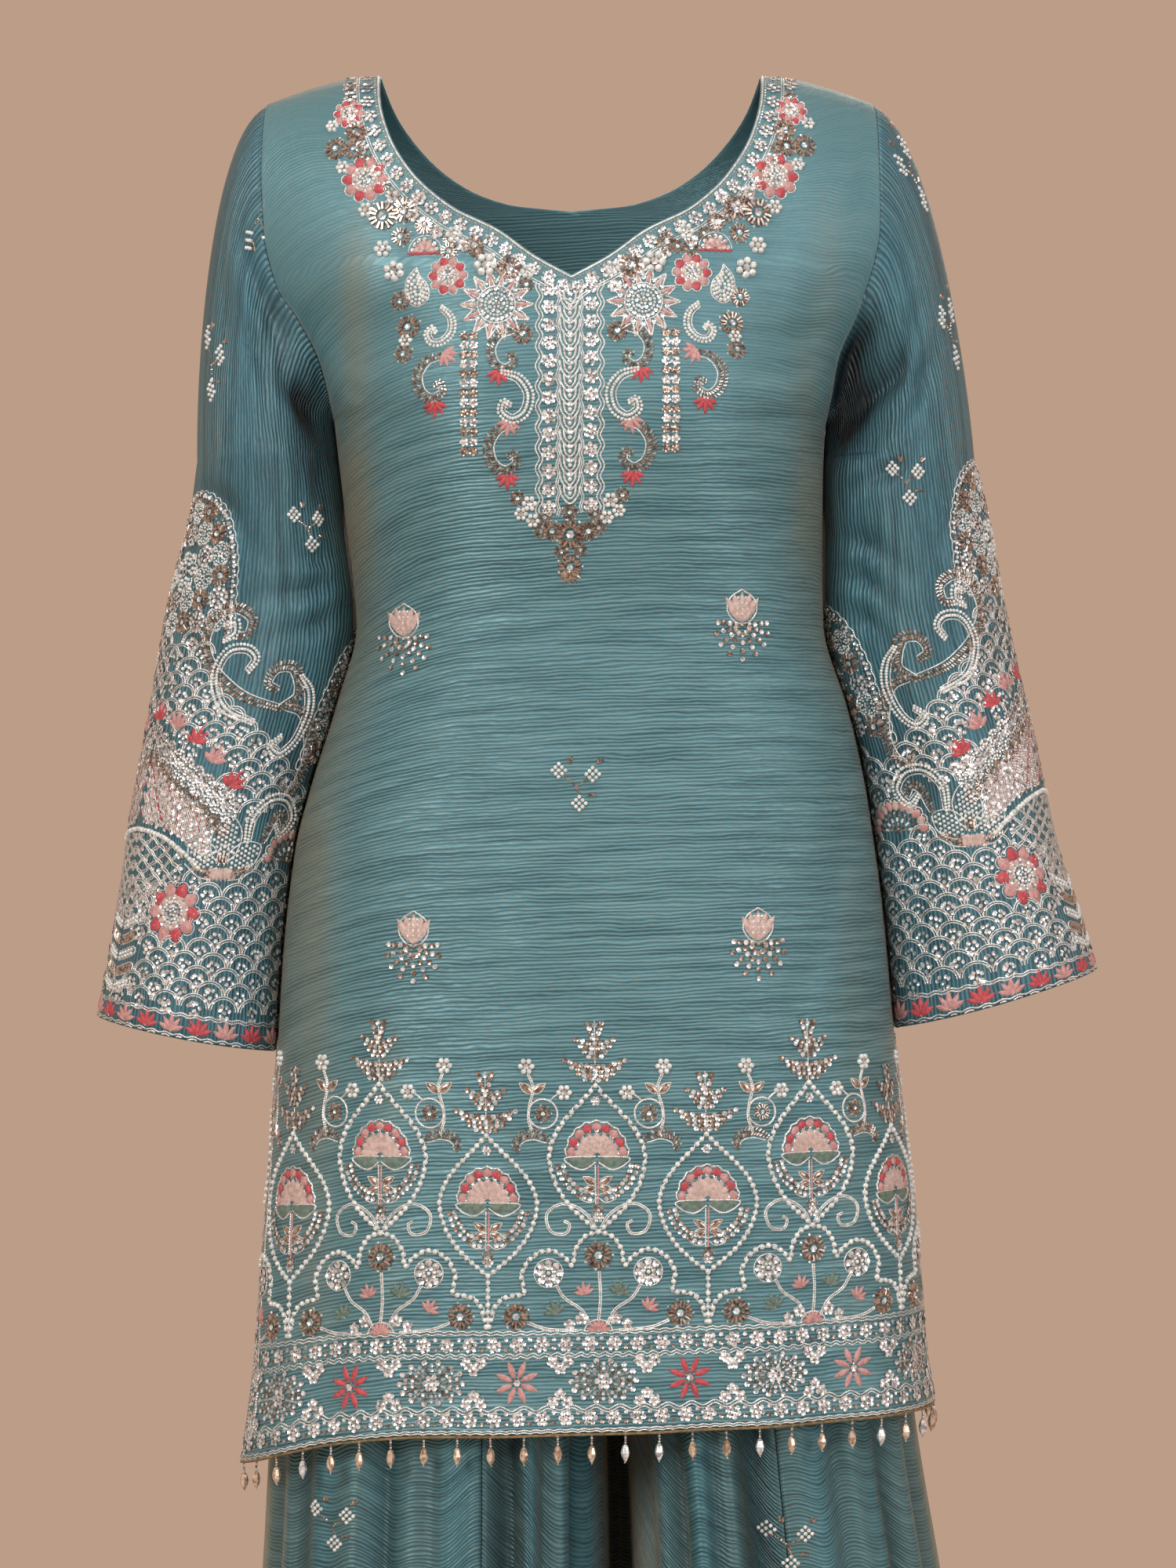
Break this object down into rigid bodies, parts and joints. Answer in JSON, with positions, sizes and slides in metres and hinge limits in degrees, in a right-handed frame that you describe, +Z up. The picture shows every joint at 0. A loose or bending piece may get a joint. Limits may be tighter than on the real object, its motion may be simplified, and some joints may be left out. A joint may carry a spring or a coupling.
{
  "type": "palazzo suit",
  "caption": "Hip-length tunic with a wide sweetheart neck, bell sleeves, side slits and a crystal-drop fringe, over wide floor-length palazzo trousers, hollow as worn.",
  "frame": {"origin": "midway between the tops of the two shoulder seams, where the wearer's shoulders carry the tunic", "axes": "+Z up, -Y out of the wearer's front, +X towards the wearer's left"},
  "size_m": [0.619, 0.2814, 1.3452],
  "materials": {
    "silk": "crinkled shot silk, teal with a gold shimmer",
    "trouser_silk": "crinkled shot silk, deeper teal",
    "crystal": "faceted champagne glass beads on thread"
  },
  "bodies": {
    "root": {"tunic_front": "silk", "tunic_back": "silk", "sleeve_right": "silk", "sleeve_left": "silk", "fringe_front": "crystal", "fringe_back": "crystal", "leg_right_front_outer": "trouser_silk", "leg_right_front_inner": "trouser_silk", "leg_right_back": "trouser_silk", "leg_left_front_outer": "trouser_silk", "leg_left_front_inner": "trouser_silk", "leg_left_back": "trouser_silk", "waistband": "trouser_silk"}
  },
  "joints": []
}
